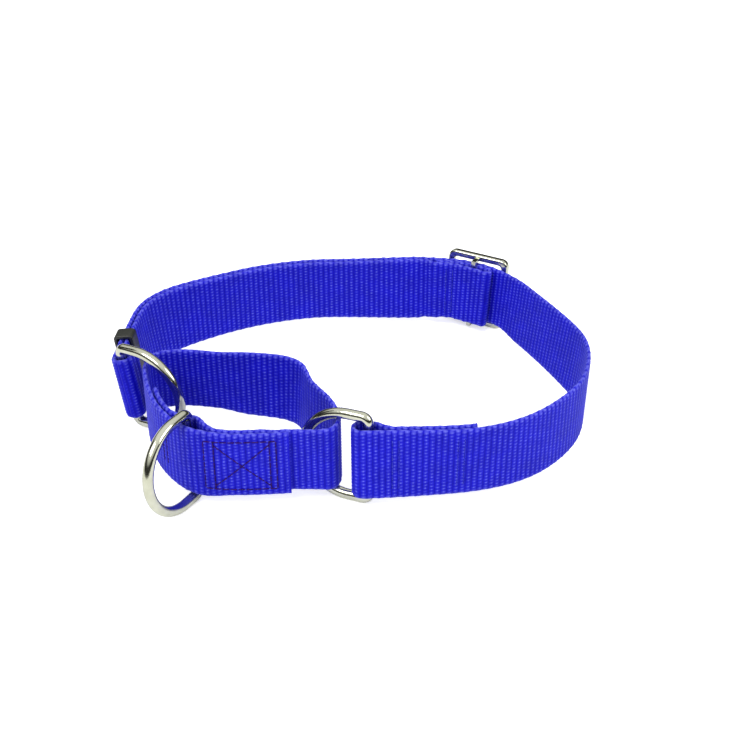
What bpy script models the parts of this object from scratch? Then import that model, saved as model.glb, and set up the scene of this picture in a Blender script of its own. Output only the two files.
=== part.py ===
"""Martingale collar: two nylon straps, three D-rings, a slide, a keeper and their seams.

Metres, +Z up. The collar stands on the lower edges of its hardware, with the origin on that
plane at the middle of its footprint. +X runs from the left D-ring towards the main strap's
bend, and +Y from the control strap towards the nape.

Each strap is an open sheet, two vertices wide, that follows a plan route. A place on it is
given in its own frame: along the strap, out of its outer face and up its width.
"""
import math

import bmesh
import bpy
import numpy as np
from mathutils import Matrix, Vector

MM = 0.001
GAP = 0.3 * MM                    # clearance between pieces that touch

# Webbing
STRAP_WIDTH = 25.4 * MM
STRAP_THICK = 1.9 * MM
LAYER_PITCH = STRAP_THICK + GAP   # between the middles of two layers that lie together
STEP = 2.5 * MM                   # spacing of the stations along a strap

# D-rings
WIRE = 3.8 * MM
RING_HEIGHT = 32.4 * MM           # between the middles of the two legs
RING_LEG = 7.6 * MM               # straight leg, from the bar's axis to the arc
RING_CORNER = 2.4 * MM            # bend between bar and leg
FOLD_RADIUS = WIRE / 2 + GAP + STRAP_THICK / 2

# Height of the control strap's lower edge, which its rings hold up
RISE_AT_RINGS = 5.5 * MM

# Plan point that becomes the origin
CENTRE = (-9.44 * MM, -23.91 * MM)

# Main strap: route of the outer layer, from the right ring round to the left ring's bar
MAIN_START = (-5.1 * MM, -82.6 * MM)
MAIN_HEADING = 3.0                # degrees from +X
MAIN_ARCS = (                     # length in millimetres and turn in degrees of each arc
    (32.4, 4.2),                  # straight run in front
    (52.9, 49.9),
    (39.1, 53.5),                 # side of the neck
    (45.0, 9.6),
    (37.0, 62.0),                 # nape, where the slide travels
    (43.1, 2.7),
    (64.2, 32.4),
    (26.1, 46.6),                 # bend before the keeper
    (28.0, 3.2),                  # straight run under the keeper
)
NAPE = 4                          # place of the nape's arc in that list
MAIN_LEAN = ((0, -5), (40, 0.5), (70, -1.3), (100, -1.7), (158, 5), (210, 5), (250, -2.9), (290, -1.3),
             (337, 6.5), (380, 6.5))
MAIN_RISE = ((0, 5.95), (35, 6.0), (70, 4.7), (158, 3.4), (210, 3.4), (258, 5.6), (328, 5.0), (380, 5.0))

RIGHT_TAIL = 40 * MM              # folded end sewn back at the right ring
RIGHT_BAR_AT = 3.2 * MM           # right ring's bar, along the main strap
RIGHT_FOLD_AT = 1.2 * MM          # middle of the loose fold's half-turn past that bar
FOLD_SETTLE = 9 * MM              # a fold's layers close up over this length

# Slide, on the nape arc
SLIDE_AT = 188.9 * MM             # along the main strap
SLIDE_LENGTH = 26.4 * MM
SLIDE_HEIGHT = 31.4 * MM
SLIDE_END_BAR = 2.8 * MM
SLIDE_SIDE_BAR = 2.7 * MM
SLIDE_DEPTH = 3.2 * MM
SLIDE_BACK_OFF = 0.0 * MM         # inner side of the frame, out from the strap's middle
CENTRE_BAR = (3.2 * MM, 1.2 * MM)     # along the strap, and through it
CENTRE_BAR_LEG = 1.6 * MM
LOOP_TAIL = 16.5 * MM             # adjuster end, folded back and sewn
LOOP_LENGTH = 21 * MM             # adjuster end, up to where the inner layer takes over
LOOP_NOSE = 6.2 * MM              # middle of its half-turn, past the middle of the centre bar
LOOP_RADIUS = CENTRE_BAR[1] / 2 + GAP + STRAP_THICK / 2
CENTRE_BAR_OFF = LAYER_PITCH + LOOP_RADIUS

# Keeper, on the straight run beside the left ring
KEEPER_FROM_RING = 13.8 * MM
KEEPER_LENGTH = 6.0 * MM
KEEPER_WALL = 1.25 * MM
KEEPER_PLAY = 0.4 * MM

# Control strap: plan points of its outer layer in millimetres, from the cut end in front,
# past the leash ring, through the left ring, along the back and through the right ring
CONTROL_POINTS = (
    (-28.5, -80.7), (-37, -81.4), (-47, -81.8), (-56, -81.0), (-63.5, -78.0), (-70, -72),
    (-75.5, -64), (-79.3, -55), (-81.9, -46), (-83.0, -38.5), (-81.6, -32.4), (-76.8, -29.4),
    (-69, -28.9), (-59, -30.4), (-49, -32.4), (-40, -34.2), (-33, -36.2), (-28.2, -39.6),
    (-25.7, -44.4), (-23.7, -49.4), (-20.6, -54.5), (-16.9, -59.5), (-13.9, -65), (-12.4, -70.5),
    (-13.0, -75.2), (-16.6, -78.3),
)
CONTROL_LEAN = ((0, -3), (24, -2.5), (36, -1.5), (65, -1), (110, 0), (140, 4.5), (158, 2), (178, 0),
                (205, -1), (213, -1), (223, -3), (240, -3))
LEASH_RING_AT = 36.5 * MM         # along the control strap, from the cut end
CONTROL_JOIN = 8 * MM             # where the strap has come round under its cut end
CONTROL_INNER_END = 64 * MM       # where the inner layer stops, past the leash ring
BULGE = 12 * MM                   # half the length that the trapped bar lifts the inner layer

# Directions in plan that the rings point, in degrees from +X
LEFT_RING_TURN = -31
RIGHT_RING_TURN = 158
LEASH_RING_TURN = 240.5
LEASH_BAR_SKEW = 5                # degrees that its bar slants along the strap

# Thread, and seam rows in millimetres along their strap
THREAD = 0.5 * MM
SEAM_CORNER = 0.45 * MM
BOX_ROWS = (4.6, 6.8, 25.6, 29.0)     # from the control strap's cut end
BOX_HALF_HEIGHT = 9.6 * MM
BOX_INSET = 1.2 * MM
TACK_ROWS = (46.0, 48.4)
TACK_HALF_HEIGHT = 7.0
RIGHT_SEAM_ROWS = (11.0, 13.2, 33.0, 35.2)
LOOP_SEAM_ROWS = (9.0, 12.0)    # from the slide
CROSS_SEAM_HALF_HEIGHT = 9.9


def clear_scene():
    for obj in list(bpy.data.objects):
        bpy.data.objects.remove(obj, do_unlink=True)


def principled(name, colour, roughness, metallic):
    material = bpy.data.materials.new(name)
    material.use_nodes = True
    shader = material.node_tree.nodes["Principled BSDF"]
    shader.inputs["Base Color"].default_value = (*colour, 1.0)
    shader.inputs["Roughness"].default_value = roughness
    shader.inputs["Metallic"].default_value = metallic
    material.diffuse_color = (*colour, 1.0)
    return material


def add_object(name, data, material, matrix=None):
    obj = bpy.data.objects.new(name, data)
    if matrix is not None:
        obj.matrix_world = matrix
    data.materials.append(material)
    collar.objects.link(obj)
    return obj


def knot_value(knots, s):
    """Value at a distance s (metres) along a strap, eased between (millimetres, value) knots."""
    at = s / MM
    for (a, low), (b, high) in zip(knots, knots[1:]):
        if at <= b:
            return low + (high - low) * ease((at - a) / (b - a))
    return knots[-1][1]


def ease(x):
    x = min(max(x, 0.0), 1.0)
    return x * x * (3 - 2 * x)


class Frame:
    """A strap's own directions at one place on the lower edge of its outer layer."""

    def __init__(self, x, y, heading, side, lean, rise):
        self.origin = Vector((x - CENTRE[0], y - CENTRE[1], rise))
        out = Vector((math.sin(heading), -math.cos(heading), 0)) * side
        up = Vector((0, 0, 1))
        self.along = Vector((math.cos(heading), math.sin(heading), 0))
        self.out = out * math.cos(lean) - up * math.sin(lean)
        self.width = out * math.sin(lean) + up * math.cos(lean)

    def point(self, along, out, width):
        return self.origin + self.along * along + self.out * out + self.width * width

    def edges(self, along, out):
        return self.point(along, out, 0), self.point(along, out, STRAP_WIDTH)

    def matrix(self, along=0.0, out=0.0, width=0.0):
        """Local X along the strap, local Y up its width, local Z out of its face."""
        columns = Matrix((self.along, self.width, self.along.cross(self.width))).transposed()
        return Matrix.Translation(self.point(along, out, width)) @ columns.to_4x4()


def main_frame(s):
    """Frame of the main strap's outer layer at a distance s from its start at the right ring."""
    x, y = MAIN_START
    heading = math.radians(MAIN_HEADING)
    left = s
    for length, turn in MAIN_ARCS:
        run = min(left, length * MM) if (length, turn) != MAIN_ARCS[-1] else left
        bend = math.radians(turn) * run / (length * MM)
        chord = run * math.sin(bend / 2) / (bend / 2) if abs(bend) > 1e-9 else run
        x += chord * math.cos(heading + bend / 2)
        y += chord * math.sin(heading + bend / 2)
        heading += bend
        left -= run
        if left <= 0:
            break
    lean = math.radians(knot_value(MAIN_LEAN, s))
    return Frame(x, y, heading, 1, lean, knot_value(MAIN_RISE, s) * MM)


def nape_arc_centre():
    """Centre of the arc that the slide travels on, in plan."""
    before = sum(length for length, turn in MAIN_ARCS[:NAPE]) * MM
    length, turn = MAIN_ARCS[NAPE]
    frame = main_frame(before)
    radius = length * MM / math.radians(turn)
    inward = Vector((-frame.along.y, frame.along.x, 0))
    centre = frame.origin + inward * radius
    return Vector((centre.x, centre.y, 0))


def smooth_route(points, per_span=12):
    """Catmull-Rom curve through plan points, as dense rows of x and y."""
    pts = np.array(points, float) * MM
    pts = np.vstack([2 * pts[0] - pts[1], pts, 2 * pts[-1] - pts[-2]])
    rows = []
    for a, b, c, d in zip(pts, pts[1:], pts[2:], pts[3:]):
        for t in np.arange(per_span) / per_span:
            rows.append(0.5 * (2 * b + (c - a) * t + (2 * a - 5 * b + 4 * c - d) * t ** 2
                               + (3 * b - a - 3 * c + d) * t ** 3))
    rows.append(pts[-2])
    return np.array(rows)


class ControlRoute:
    """The control strap's outer layer as a smooth open curve in plan."""

    def __init__(self):
        first = smooth_route(CONTROL_POINTS)
        join = [self.inside(first, 0), self.inside(first, 8)]
        self.rows = smooth_route(CONTROL_POINTS + tuple(join))
        gaps = np.hypot(*np.diff(self.rows, axis=0).T)
        self.distance = np.concatenate([[0], np.cumsum(gaps)])
        self.length = self.distance[-1]

    @staticmethod
    def inside(rows, row):
        """Plan point, in millimetres, one layer inside a row of the curve."""
        tangent = (rows[row + 1] - rows[row]) / np.linalg.norm(rows[row + 1] - rows[row])
        point = rows[row] + LAYER_PITCH * np.array([tangent[1], -tangent[0]])
        return tuple(point / MM)

    def frame(self, s):
        x = np.interp(s, self.distance, self.rows[:, 0])
        y = np.interp(s, self.distance, self.rows[:, 1])
        low, high = max(s - MM, 0), min(s + MM, self.length)
        dx = np.interp(high, self.distance, self.rows[:, 0]) - np.interp(low, self.distance, self.rows[:, 0])
        dy = np.interp(high, self.distance, self.rows[:, 1]) - np.interp(low, self.distance, self.rows[:, 1])
        lean = math.radians(knot_value(CONTROL_LEAN, s))
        return Frame(float(x), float(y), math.atan2(dy, dx), -1, lean, RISE_AT_RINGS)


def places(start, end, step=STEP):
    """Evenly spaced distances from start to end, both included."""
    count = max(2, round(abs(end - start) / step) + 1)
    return [start + (end - start) * i / (count - 1) for i in range(count)]


def fold(frame, radius, side, out=0.0, turns=12):
    """Edges of a half-turn round a bar, from the outer layer to the inner one."""
    angles = [math.pi * i / turns for i in range(turns + 1)]
    return [frame.edges(side * radius * math.sin(a), out - radius + radius * math.cos(a)) for a in angles]


def settled(distance, near, far):
    """Offset of an inner layer that closes up from near, at a bar, to far."""
    return near + (far - near) * ease(distance / FOLD_SETTLE)


def strap_sheet(name, edges, material):
    """An open sheet through pairs of lower and upper edge points, thickened evenly."""
    bm = bmesh.new()
    pairs = [(bm.verts.new(low), bm.verts.new(high)) for low, high in edges]
    for (a, b), (c, d) in zip(pairs, pairs[1:]):
        bm.faces.new((a, c, d, b))
    mesh = bpy.data.meshes.new(name)
    bm.to_mesh(mesh)
    bm.free()
    obj = add_object(name, mesh, material)
    solid = obj.modifiers.new("webbing_thickness", "SOLIDIFY")
    solid.thickness = STRAP_THICK
    solid.offset = 0
    solid.use_even_offset = True
    return obj


def main_strap_edges():
    end = MAIN_LENGTH
    both = 2 * FOLD_RADIUS
    near = RIGHT_FOLD_AT + STEP / 2
    tail = []
    for s in places(RIGHT_TAIL, near):
        tail.append(main_frame(s).edges(0, -settled(s - RIGHT_BAR_AT, both, LAYER_PITCH)))
    right_fold = fold(main_frame(RIGHT_FOLD_AT), FOLD_RADIUS, -1)[::-1]
    outer = [main_frame(s).edges(0, 0) for s in places(near, end - STEP / 2)]
    left_fold = fold(main_frame(end), FOLD_RADIUS, 1)
    inner_stop = SLIDE_AT + LOOP_LENGTH + 2 * GAP
    near_ring = places(end - STEP / 2, end - FOLD_SETTLE, STEP / 2)
    along = places(end - FOLD_SETTLE - STEP, inner_stop)
    inner = [main_frame(s).edges(0, -settled(end - s, both, LAYER_PITCH)) for s in near_ring + along]
    return tail + right_fold + outer + left_fold + inner


def end_loop_edges():
    """Adjuster end: sewn tail, half-turn round the centre bar, and the run that it is sewn to."""
    nose = SLIDE_AT - LOOP_NOSE
    tail = [main_frame(s).edges(0, -LAYER_PITCH) for s in places(SLIDE_AT + LOOP_TAIL, nose + STEP / 4)]
    turn = fold(main_frame(nose), LOOP_RADIUS, -1, out=-LAYER_PITCH)
    run = []
    for s in places(nose + STEP / 2, SLIDE_AT + LOOP_LENGTH, STEP / 2):
        run.append(main_frame(s).edges(0, -loop_run_offset(s - SLIDE_AT)))
    return tail + turn + run


def loop_run_offset(distance):
    """How far in the adjuster end's inner run lies: over the bar, over the tail, then down."""
    over_bar = LAYER_PITCH + 2 * LOOP_RADIUS
    over_tail = 2 * LAYER_PITCH
    if distance < LOOP_TAIL:
        return settled(distance - CENTRE_BAR[0] / 2, over_bar, over_tail)
    past = (distance - LOOP_TAIL - GAP) / (LOOP_LENGTH - LOOP_TAIL - GAP)
    return over_tail - (over_tail - LAYER_PITCH) * ease(past)


def control_layer_offset(s):
    """Distance between the control strap's two layers, lifted where the leash bar is trapped."""
    lift = 1 - ease(abs(s - LEASH_RING_AT) / BULGE)
    return LAYER_PITCH + (2 * FOLD_RADIUS + GAP - LAYER_PITCH) * lift


def control_strap_edges(route):
    outer = [route.frame(s).edges(0, 0) for s in places(0, route.length, STEP)]
    inner = []
    for s in places(CONTROL_JOIN, CONTROL_INNER_END):
        inner.append(route.frame(s).edges(0, -control_layer_offset(s)))
    return outer + inner


def ring_outline(corner_steps=3, arc_steps=22):
    """Centre line of a D-ring: Y up its bar, X towards its arc, from the bar's lower end."""
    radius = RING_HEIGHT / 2
    corner = []
    for i in range(corner_steps + 1):
        a = math.pi / 2 * i / corner_steps
        corner.append((RING_CORNER * (1 - math.cos(a)), RING_CORNER * (1 - math.sin(a))))
    arc = []
    for i in range(arc_steps + 1):
        a = -math.pi / 2 + math.pi * i / arc_steps
        arc.append((RING_LEG + radius * math.cos(a), radius + radius * math.sin(a)))
    return corner + arc + [(x, RING_HEIGHT - y) for x, y in reversed(corner)]


def ring(name, frame, turn, material, skew=0):
    """A D-ring whose bar lies in a strap's fold and whose arc points along turn."""
    curve = bpy.data.curves.new(name, "CURVE")
    curve.dimensions = "3D"
    curve.bevel_depth = WIRE / 2
    curve.bevel_resolution = 4
    outline = ring_outline()
    spline = curve.splines.new("POLY")
    spline.points.add(len(outline) - 1)
    for spot, (x, y) in zip(spline.points, outline):
        spot.co = (x, y, 0, 1)
    spline.use_cyclic_u = True
    flat = Vector((math.cos(math.radians(turn)), math.sin(math.radians(turn)), 0))
    slant = math.radians(skew)
    up = frame.width * math.cos(slant) + frame.along * math.sin(slant)
    forward = (flat - up * flat.dot(up)).normalized()
    columns = Matrix((forward, up, forward.cross(up))).transposed().to_4x4()
    foot = frame.point(0, -FOLD_RADIUS, STRAP_WIDTH / 2) - up * RING_HEIGHT / 2
    return add_object(name, curve, material, Matrix.Translation(foot) @ columns)


def rounded_rectangle(curve, length, height, radius, steps=5):
    """Adds one closed outline, centred on the origin, to a 2D curve."""
    spline = curve.splines.new("POLY")
    points = []
    for quarter, (sx, sy) in enumerate(((1, 1), (-1, 1), (-1, -1), (1, -1))):
        for i in range(steps + 1):
            a = math.pi / 2 * (quarter + i / steps)
            x = sx * (length / 2 - radius) + radius * math.cos(a)
            y = sy * (height / 2 - radius) + radius * math.sin(a)
            points.append((x, y, 0, 1))
    spline.points.add(len(points) - 1)
    for spot, co in zip(spline.points, points):
        spot.co = co
    spline.use_cyclic_u = True


def flat_ring(name, outer, inner, depth, edge):
    """A filled outline between two rounded rectangles, with softened edges."""
    curve = bpy.data.curves.new(name, "CURVE")
    curve.dimensions = "2D"
    curve.fill_mode = "BOTH"
    curve.extrude = depth / 2 - edge
    curve.bevel_depth = edge
    curve.bevel_resolution = 1
    curve.offset = -edge
    rounded_rectangle(curve, *outer)
    rounded_rectangle(curve, *inner)
    return curve


def mesh_from_curve(name, curve, material, matrix):
    """A welded mesh object with a curve's evaluated shape, for pieces that are joined."""
    guide = bpy.data.objects.new(name + "_curve", curve)
    collar.objects.link(guide)
    bpy.context.view_layer.update()
    evaluated = guide.evaluated_get(bpy.context.evaluated_depsgraph_get())
    mesh = bpy.data.meshes.new_from_object(evaluated)
    bm = bmesh.new()
    bm.from_mesh(mesh)
    bmesh.ops.remove_doubles(bm, verts=bm.verts, dist=1e-6)
    bm.to_mesh(mesh)
    bm.free()
    mesh.materials.clear()
    bpy.data.objects.remove(guide, do_unlink=True)
    return add_object(name, mesh, material, matrix)


def centre_bar_curve():
    """The slide's flat centre bar with a leg at each end, as an outline of height and depth."""
    curve = bpy.data.curves.new("centre_bar", "CURVE")
    curve.dimensions = "2D"
    curve.fill_mode = "BOTH"
    curve.extrude = CENTRE_BAR[0] / 2
    seat = SLIDE_BACK_OFF + SLIDE_DEPTH / 2
    far, near = SLIDE_HEIGHT / 2 - 0.9 * MM, SLIDE_HEIGHT / 2 - 0.9 * MM - CENTRE_BAR_LEG
    inner, outer = -CENTRE_BAR_OFF - CENTRE_BAR[1] / 2, -CENTRE_BAR_OFF + CENTRE_BAR[1] / 2
    corners = ((far, seat), (near, seat), (near, outer), (-near, outer), (-near, seat), (-far, seat),
               (-far, inner), (far, inner))
    spline = curve.splines.new("POLY")
    spline.points.add(len(corners) - 1)
    for spot, (height, out) in zip(spline.points, corners):
        spot.co = (height, out, 0, 1)
    spline.use_cyclic_u = True
    return curve


def standing_matrix(frame, place):
    """Local X up the strap's width, local Y out of its face, local Z along it."""
    columns = Matrix((frame.width, frame.out, frame.width.cross(frame.out))).transposed()
    return Matrix.Translation(place) @ columns.to_4x4()


def slide(material):
    frame = main_frame(SLIDE_AT)
    middle = STRAP_WIDTH / 2
    outline = flat_ring("slide_frame", (SLIDE_LENGTH, SLIDE_HEIGHT, 3.2 * MM),
                        (SLIDE_LENGTH - 2 * SLIDE_END_BAR, SLIDE_HEIGHT - 2 * SLIDE_SIDE_BAR, 1.4 * MM),
                        SLIDE_DEPTH, 0.5 * MM)
    body = mesh_from_curve("slide_frame", outline, material,
                           frame.matrix(out=SLIDE_BACK_OFF + SLIDE_DEPTH / 2, width=middle))
    bar = mesh_from_curve("centre_bar", centre_bar_curve(), material,
                          standing_matrix(frame, frame.point(0, 0, middle)))
    bar.hide_render = True
    bar.display_type = "WIRE"
    collar.objects.unlink(bar)
    cutters.objects.link(bar)
    union = body.modifiers.new("cast_with_centre_bar", "BOOLEAN")
    union.operation = "UNION"
    union.object = bar
    return body


def carry_on_nape_arc(pieces):
    """Parents the pieces that travel with the slide to an empty on the arc's axis."""
    axis = bpy.data.objects.new("slide_travel_axis", None)
    axis.empty_display_size = 0.02
    axis.location = nape_arc_centre()
    collar.objects.link(axis)
    bpy.context.view_layer.update()
    for piece in pieces:
        piece.parent = axis
        piece.matrix_parent_inverse = axis.matrix_world.inverted()


def keeper(material):
    frame = main_frame(MAIN_LENGTH - KEEPER_FROM_RING)
    room = STRAP_THICK + LAYER_PITCH + 2 * KEEPER_PLAY
    inner = (STRAP_WIDTH + 2 * KEEPER_PLAY, room, 0.8 * MM)
    outer = (inner[0] + 2 * KEEPER_WALL, room + 2 * KEEPER_WALL, 1.6 * MM)
    curve = flat_ring("strap_keeper", outer, inner, KEEPER_LENGTH, 0.35 * MM)
    middle = frame.point(0, -LAYER_PITCH / 2, STRAP_WIDTH / 2)
    return mesh_from_curve("strap_keeper", curve, material, standing_matrix(frame, middle))


def rounded_path(corners, radius, steps=4):
    """Plane path through corner points with each corner eased into an arc."""
    points = [Vector(corners[0])]
    for before, corner, after in zip(corners, corners[1:], corners[2:]):
        corner = Vector(corner)
        back = (Vector(before) - corner).normalized()
        ahead = (Vector(after) - corner).normalized()
        half = back.angle(ahead) / 2
        middle = corner + (back + ahead).normalized() * radius / math.sin(half)
        for i in range(steps + 1):
            a = (math.pi / 2 - half) * (2 * i / steps - 1)
            points.append(middle - (back + ahead).normalized() * radius * math.cos(a)
                          + (ahead - back).normalized() * radius * math.sin(a))
    return points + [Vector(corners[-1])]


def refined(points, spacing):
    """The same path with no step longer than the spacing."""
    rows = [points[0]]
    for a, b in zip(points, points[1:]):
        count = max(1, math.ceil((b - a).length / spacing))
        rows += [a + (b - a) * i / count for i in range(1, count + 1)]
    return rows


def seam(name, frame_of, face_at, corners, material):
    """One thread laid on a strap through (distance, height) corners in millimetres.

    face_at gives the offset of the thread's centre at a (distance, height) place in metres."""
    path = [Vector((s * MM, STRAP_WIDTH / 2 + w * MM)) for s, w in corners]
    rows = refined(rounded_path(path, SEAM_CORNER), 3 * MM)
    curve = bpy.data.curves.new(name, "CURVE")
    curve.dimensions = "3D"
    curve.bevel_depth = THREAD / 2
    curve.bevel_resolution = 1
    curve.use_fill_caps = True
    spline = curve.splines.new("POLY")
    spline.points.add(len(rows) - 1)
    for spot, (s, width) in zip(spline.points, rows):
        spot.co = (*frame_of(s).point(0, face_at(s, width), width), 1)
    return add_object(name, curve, material)


def on_outer_face(s, width):
    return STRAP_THICK / 2 + GAP + THREAD / 2


def on_end_loop(s, width):
    return -loop_run_offset(s - SLIDE_AT) - STRAP_THICK / 2 - GAP - THREAD / 2


def box_face(s, width):
    """Outer face, with the second diagonal lifted where it crosses the first."""
    near_row, far_row = BOX_ROWS[1:3]
    across = (s / MM - near_row) / (far_row - near_row)
    diagonal = STRAP_WIDTH / 2 + (1 - 2 * across) * (BOX_HALF_HEIGHT - BOX_INSET)
    near = abs(width - diagonal) < 0.6 * MM
    lift = (THREAD + GAP) * (1 - ease(abs(across - 0.5) * 6)) if near else 0
    return on_outer_face(s, width) + lift


def box_seam(route, material):
    """A box with a cross inside and a double row of stitches at each end, in one stroke."""
    first, near, far, last = BOX_ROWS
    high = BOX_HALF_HEIGHT / MM
    inside = high - BOX_INSET / MM
    corners = ((last, -high), (last, high), (first, high), (first, -high), (far, -high), (far, inside),
               (near, -inside), (near, inside), (far - BOX_INSET / MM, -inside))
    return seam("box_seam", route.frame, box_face, corners, material)


def zigzag(rows, high, start=0.0):
    """Corners of rows straight across the strap, joined end to end."""
    corners = []
    for i, row in enumerate(rows):
        ends = ((row + start, -high), (row + start, high))
        corners += ends if i % 2 == 0 else ends[::-1]
    return corners


def shade_round(obj):
    if obj.type == "MESH":
        obj.data.shade_smooth()
        obj.data.set_sharp_from_angle(angle=math.radians(35))


MAIN_LENGTH = sum(length for length, turn in MAIN_ARCS) * MM

clear_scene()
collar = bpy.data.collections.new("martingale_collar")
cutters = bpy.data.collections.new("cutters")
for group in (collar, cutters):
    bpy.context.scene.collection.children.link(group)

webbing = principled("blue_nylon_webbing", (0.012, 0.014, 0.62), 0.62, 0.0)
nickel = principled("nickel_plated_steel", (0.78, 0.77, 0.72), 0.16, 1.0)
black_plastic = principled("black_plastic", (0.03, 0.032, 0.028), 0.42, 0.0)
dark_thread = principled("dark_thread", (0.05, 0.012, 0.16), 0.7, 0.0)
blue_thread = principled("blue_thread", (0.012, 0.014, 0.55), 0.7, 0.0)

control = ControlRoute()
strap_sheet("main_strap", main_strap_edges(), webbing)
strap_sheet("strap_end_loop", end_loop_edges(), webbing)
strap_sheet("control_strap", control_strap_edges(control), webbing)

ring("right_d_ring", main_frame(RIGHT_BAR_AT), RIGHT_RING_TURN, nickel)
ring("left_d_ring", main_frame(MAIN_LENGTH), LEFT_RING_TURN, nickel)
ring("leash_d_ring", control.frame(LEASH_RING_AT), LEASH_RING_TURN, nickel, LEASH_BAR_SKEW)

slide_frame = slide(nickel)
keeper(black_plastic)

box_seam(control, dark_thread)
seam("tack_seam", control.frame, on_outer_face, zigzag(TACK_ROWS, TACK_HALF_HEIGHT), dark_thread)
seam("right_ring_seam", main_frame, on_outer_face,
     zigzag(RIGHT_SEAM_ROWS, CROSS_SEAM_HALF_HEIGHT), blue_thread)
seam("end_loop_seam", main_frame, on_end_loop,
     zigzag(LOOP_SEAM_ROWS, CROSS_SEAM_HALF_HEIGHT, SLIDE_AT / MM), blue_thread)

carry_on_nape_arc([slide_frame, collar.objects["strap_end_loop"], collar.objects["end_loop_seam"]])

for piece in collar.objects:
    shade_round(piece)
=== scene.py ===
"""Looks for the martingale collar: woven webbing, stitching, plated rings and a moulded keeper.

Lengths are metres, except that arcs, route points, knots, seam rows and stitch sizes are
millimetres. Angles are degrees. The straps follow the same plan routes as the CAD source,
whose straps and seams they stand for.
"""
import math

import bmesh
import bpy
import numpy as np
from mathutils import Matrix, Vector

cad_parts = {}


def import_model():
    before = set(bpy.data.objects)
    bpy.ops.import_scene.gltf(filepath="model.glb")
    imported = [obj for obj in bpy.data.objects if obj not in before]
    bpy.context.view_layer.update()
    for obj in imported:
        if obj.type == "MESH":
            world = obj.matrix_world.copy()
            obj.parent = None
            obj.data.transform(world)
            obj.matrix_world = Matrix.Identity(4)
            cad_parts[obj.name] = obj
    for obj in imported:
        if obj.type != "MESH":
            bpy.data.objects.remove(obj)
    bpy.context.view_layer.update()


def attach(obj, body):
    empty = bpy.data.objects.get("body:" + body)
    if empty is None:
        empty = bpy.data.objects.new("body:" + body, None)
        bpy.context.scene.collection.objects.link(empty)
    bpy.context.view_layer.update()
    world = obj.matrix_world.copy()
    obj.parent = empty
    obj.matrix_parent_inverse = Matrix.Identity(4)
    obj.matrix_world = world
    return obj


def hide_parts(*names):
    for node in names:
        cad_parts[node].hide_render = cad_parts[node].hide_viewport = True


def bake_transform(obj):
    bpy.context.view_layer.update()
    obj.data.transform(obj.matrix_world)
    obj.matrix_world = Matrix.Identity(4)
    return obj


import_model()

MM = 0.001

# ---- Shape of the collar, as in the CAD source
GAP = 0.3 * MM
STRAP_WIDTH = 25.4 * MM
STRAP_THICK = 1.9 * MM
LAYER_PITCH = STRAP_THICK + GAP
WIRE = 3.8 * MM
RING_HEIGHT = 32.4 * MM
RING_LEG = 7.6 * MM
RING_CORNER = 2.4 * MM
FOLD_RADIUS = WIRE / 2 + GAP + STRAP_THICK / 2
RISE_AT_RINGS = 5.5 * MM
CENTRE = (-9.44 * MM, -23.91 * MM)
MAIN_START = (-5.1 * MM, -82.6 * MM)
MAIN_HEADING = 3.0
MAIN_ARCS = (
    (32.4, 4.2), (52.9, 49.9), (39.1, 53.5), (45.0, 9.6), (37.0, 62.0), (43.1, 2.7), (64.2, 32.4),
    (26.1, 46.6), (28.0, 3.2),
)
MAIN_LENGTH = sum(length for length, turn in MAIN_ARCS) * MM
MAIN_LEAN = (                     # between 70 and 158 mm it leans more than in the CAD source
    (0, -5), (40, 0.5), (70, -1.3), (96, 0), (130, 6.5), (158, 5), (210, 5), (250, -2.9),
    (290, -1.3), (337, 6.5), (380, 6.5),
)
MAIN_RISE = (
    (0, 5.95), (35, 6.0), (70, 4.7), (158, 3.4), (210, 3.4), (258, 5.6), (328, 5.0), (380, 5.0),
)
RIGHT_TAIL = 40 * MM
RIGHT_BAR_AT = 3.2 * MM
RIGHT_FOLD_AT = 1.2 * MM
FOLD_SETTLE = 9 * MM
SLIDE_AT = 188.9 * MM
SLIDE_LENGTH = 26.4 * MM
SLIDE_HEIGHT = 31.4 * MM
SLIDE_END_BAR = 2.8 * MM
SLIDE_SIDE_BAR = 2.7 * MM
SLIDE_DEPTH = 3.2 * MM
SLIDE_CORNER = 3.2 * MM
SLIDE_WINDOW_CORNER = 1.4 * MM
CENTRE_BAR = (3.2 * MM, 1.2 * MM)
CENTRE_BAR_LEG = 1.6 * MM
CENTRE_BAR_INSET = 0.9 * MM       # from the slide's outer edge to the centre bar's leg
LOOP_TAIL = 16.5 * MM
LOOP_LENGTH = 21 * MM
LOOP_NOSE = 6.2 * MM
LOOP_RADIUS = CENTRE_BAR[1] / 2 + GAP + STRAP_THICK / 2
CENTRE_BAR_OFF = LAYER_PITCH + LOOP_RADIUS
KEEPER_FROM_RING = 13.8 * MM
KEEPER_LENGTH = 6.0 * MM
KEEPER_WALL = 1.25 * MM
KEEPER_PLAY = 0.4 * MM
KEEPER_CORNER = 1.6 * MM
KEEPER_INNER_CORNER = 0.8 * MM
CONTROL_POINTS = (
    (-28.5, -80.7), (-37, -81.4), (-47, -81.8), (-56, -81.0), (-63.5, -78.0), (-70, -72),
    (-75.5, -64), (-79.3, -55), (-81.9, -46), (-83.0, -38.5), (-81.6, -32.4), (-76.8, -29.4),
    (-69, -28.9), (-59, -30.4), (-49, -32.4), (-40, -34.2), (-33, -36.2), (-28.2, -39.6),
    (-25.7, -44.4), (-23.7, -49.4), (-20.6, -54.5), (-16.9, -59.5), (-13.9, -65), (-12.4, -70.5),
    (-13.0, -75.2), (-16.6, -78.3),
)
CONTROL_LEAN = (
    (0, -3), (24, -2.5), (36, -1.5), (65, -1), (110, 0), (140, 4.5), (158, 2), (178, 0),
    (205, -1), (213, -1), (223, -3), (240, -3),
)
LEASH_RING_AT = 36.5 * MM
CONTROL_JOIN = 8 * MM
CONTROL_INNER_END = 64 * MM
BULGE = 12 * MM                   # reach of the lift over the leash ring's bar
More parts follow.
